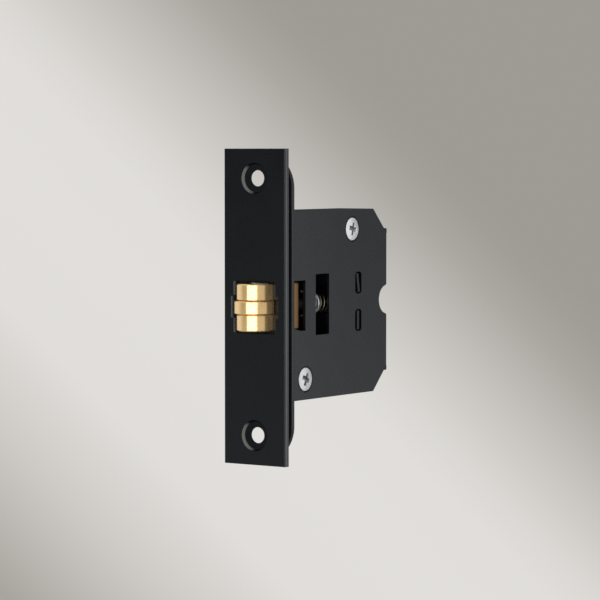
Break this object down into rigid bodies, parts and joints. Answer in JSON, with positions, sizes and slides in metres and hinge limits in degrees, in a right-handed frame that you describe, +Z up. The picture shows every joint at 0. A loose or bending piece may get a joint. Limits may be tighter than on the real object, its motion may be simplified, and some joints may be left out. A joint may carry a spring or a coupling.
{
  "type": "roller catch",
  "caption": "Adjustable spring-loaded roller catch with a black faceplate, folded mortice case and a brass roller on a round-nosed brass bolt head.",
  "frame": {"origin": "centre of the faceplate's front face, the face that lies flush with the door's edge", "axes": "+X towards the case cover, +Y into the door, +Z up; the roller stands out towards -Y"},
  "size_m": [0.025, 0.0778, 0.1076],
  "materials": {
    "black_coat": "satin black powder coat",
    "brass": "polished",
    "zinc": "bright white zinc plate",
    "steel": "turned",
    "spring_steel": "drawn wire"
  },
  "bodies": {
    "root": {"faceplate": "black_coat", "inner_forend": "black_coat", "case_body": "black_coat", "case_cover": "black_coat", "cover_screw_upper": "zinc", "cover_screw_lower": "zinc", "screw_post_upper": "zinc", "screw_post_lower": "zinc", "spring_bracket": "black_coat", "bracket_rivets": "zinc", "spring": "spring_steel"},
    "spring_seat": {"thrust_washer": "zinc"},
    "stem": {"stem": "steel", "adjusting_nut": "zinc", "nut_pin": "steel", "stop_washer": "zinc", "retaining_clip": "spring_steel"},
    "bolt": {"bolt_head": "brass", "roller_pin": "steel"},
    "roller": {"roller": "brass"}
  },
  "joints": [
    {"name": "bolt_slide", "type": "slide", "parent": "root", "child": "spring_seat", "axis": [0, 1, 0], "range_m": [0, 0.0065], "stiffness_N_per_m": 3700, "springref_m": -0.004, "deforming": ["spring"]},
    {"name": "adjuster_turn", "type": "hinge", "parent": "spring_seat", "child": "stem", "pos_m": [0, 0, 0], "axis": [0, 1, 0], "range_deg": [-720, 720]},
    {"name": "projection_adjust", "type": "slide", "parent": "spring_seat", "child": "bolt", "axis": [0, 1, 0], "range_m": [-0.0016, 0.0016]},
    {"name": "roller_spin", "type": "hinge", "parent": "bolt", "child": "roller", "pos_m": [0, 0, 0], "axis": [0, 0, 1], "continuous": true}
  ],
  "couplings": [
    {"joint": "adjuster_turn", "follows": "projection_adjust", "rad_per_m": -7854}
  ]
}
